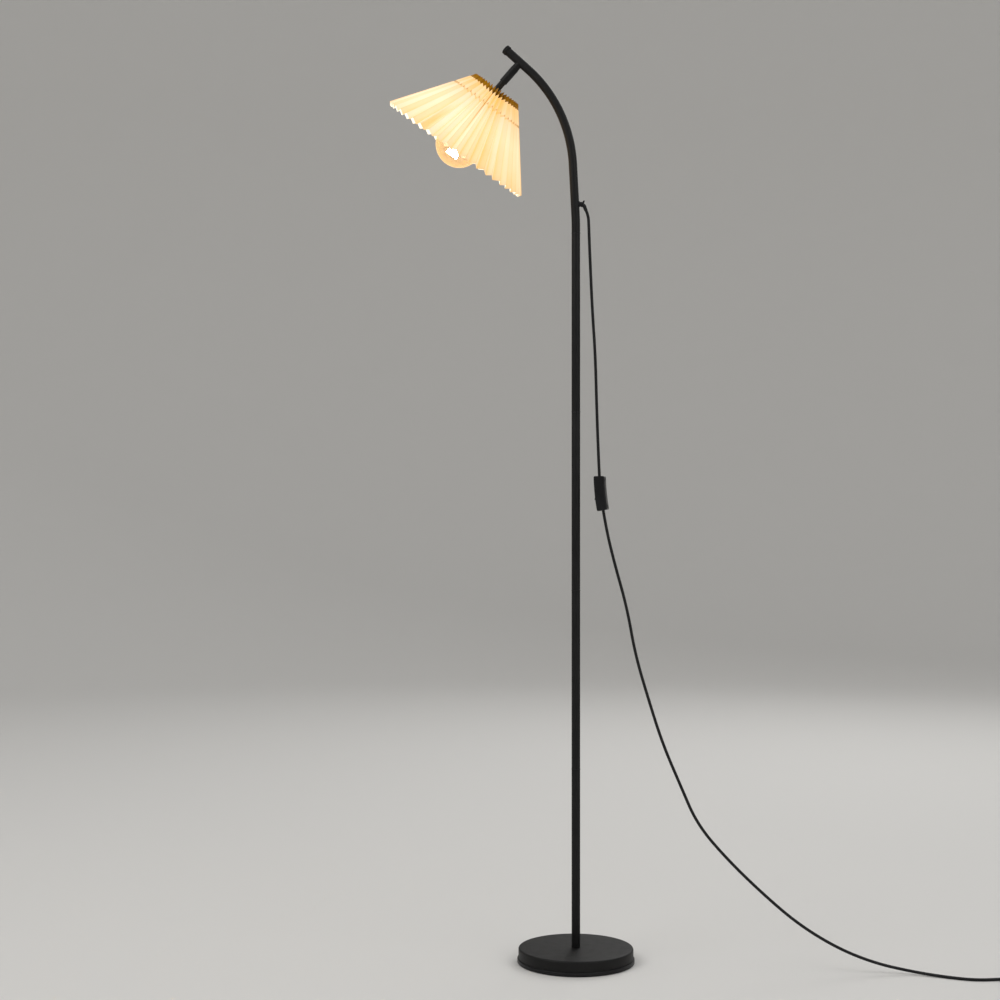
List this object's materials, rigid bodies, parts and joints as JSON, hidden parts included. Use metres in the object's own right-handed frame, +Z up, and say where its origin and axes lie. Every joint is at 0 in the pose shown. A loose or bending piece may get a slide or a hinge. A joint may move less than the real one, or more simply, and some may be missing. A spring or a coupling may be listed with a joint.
{
  "type": "led floor lamp",
  "caption": "Floor lamp with round base, screwed pole, arched arm, tilting pleated cone shade around a globe bulb, and a cord with inline rocker switch.",
  "frame": {"origin": "centre of the base's underside, on the floor under the pole", "axes": "+Z up along the pole, the arm reaches towards -X, the cord hangs on the +X side"},
  "size_m": [1.1507, 0.274, 1.5456],
  "materials": {
    "black_metal": "black powder coat, satin, fine grain",
    "collar_metal": "black, semi-gloss, turned",
    "inner_steel": "zinc-plated steel",
    "cast_iron": "rough as cast",
    "felt": "dense felt, matte",
    "black_plastic": "moulded, fine texture",
    "black_rubber": "soft PVC, slight sheen",
    "brass": "plain",
    "holder_ceramic": "unglazed",
    "shade_sheet": "pleated paper-textile sheet, translucent, lit from inside",
    "shade_thread": "twisted thread",
    "bulb_glass": "opal, lit",
    "bulb_inner_glass": "clear",
    "bulb_light": "phosphor-coated, lit",
    "bulb_metal": "nickel-plated, rolled thread",
    "bulb_black_glass": "black glass"
  },
  "bodies": {
    "stand": {"base_pad": "felt", "base_plate": "inner_steel", "base_skirt": "black_plastic", "base_weight": "cast_iron", "base_cover": "black_metal", "base_stud": "inner_steel", "base_washer": "inner_steel", "base_nut": "inner_steel", "pole_section_1": "black_metal", "pole_insert_1": "inner_steel", "pole_coupler_1": "collar_metal", "pole_section_2": "black_metal", "pole_insert_2": "inner_steel", "pole_coupler_2": "collar_metal", "pole_section_3": "black_metal", "pole_insert_3": "inner_steel", "pole_coupler_3": "collar_metal", "pole_section_4": "black_metal", "pole_insert_4": "inner_steel", "pole_coupler_4": "collar_metal", "arm_tube": "black_metal", "arm_insert": "inner_steel", "arm_end_cap": "black_metal", "arm_lead": "black_rubber", "cord_bush": "black_rubber", "cord_tie": "black_plastic", "neck_stub": "black_metal", "neck_barrel": "black_metal", "tilt_screw": "inner_steel", "tilt_nut": "inner_steel", "switch_front": "black_plastic", "switch_back": "black_plastic", "switch_screws": "inner_steel", "switch_contacts": "brass", "rocker_pin": "brass", "cord_upper": "black_rubber", "cord_lower": "black_rubber", "cord_coil": "black_rubber", "coil_tie": "black_plastic", "cord_tail": "black_rubber", "plug_body": "black_plastic", "plug_pins": "brass"},
    "head": {"holder_tongue": "black_metal", "holder_cap": "black_plastic", "holder_body": "black_plastic", "holder_core": "holder_ceramic", "holder_shell": "brass", "holder_contact": "brass", "holder_lead": "black_rubber", "shade_carrier": "black_metal", "shade_ring": "black_plastic", "shade": "shade_sheet", "shade_threads": "shade_thread"},
    "bulb": {"bulb_globe": "bulb_glass", "bulb_cap": "bulb_metal", "bulb_insulator": "bulb_black_glass", "bulb_contact": "bulb_metal", "bulb_stem": "bulb_inner_glass", "bulb_filaments": "bulb_light"},
    "rocker": {"switch_rocker": "black_plastic"}
  },
  "joints": [
    {"name": "head_tilt", "type": "hinge", "parent": "stand", "child": "head", "pos_m": [-0.13409, 0, 1.47416], "axis": [0, 1, 0], "range_deg": [-25, 50]},
    {"name": "bulb_out", "type": "slide", "parent": "head", "child": "bulb", "axis": [-0.592, 0, -0.8059], "range_m": [0, 0.035]},
    {"name": "rocker_tip", "type": "hinge", "parent": "stand", "child": "rocker", "pos_m": [0.03762, 0, 0.78684], "axis": [0, 1, 0], "range_deg": [-11, 0]}
  ]
}
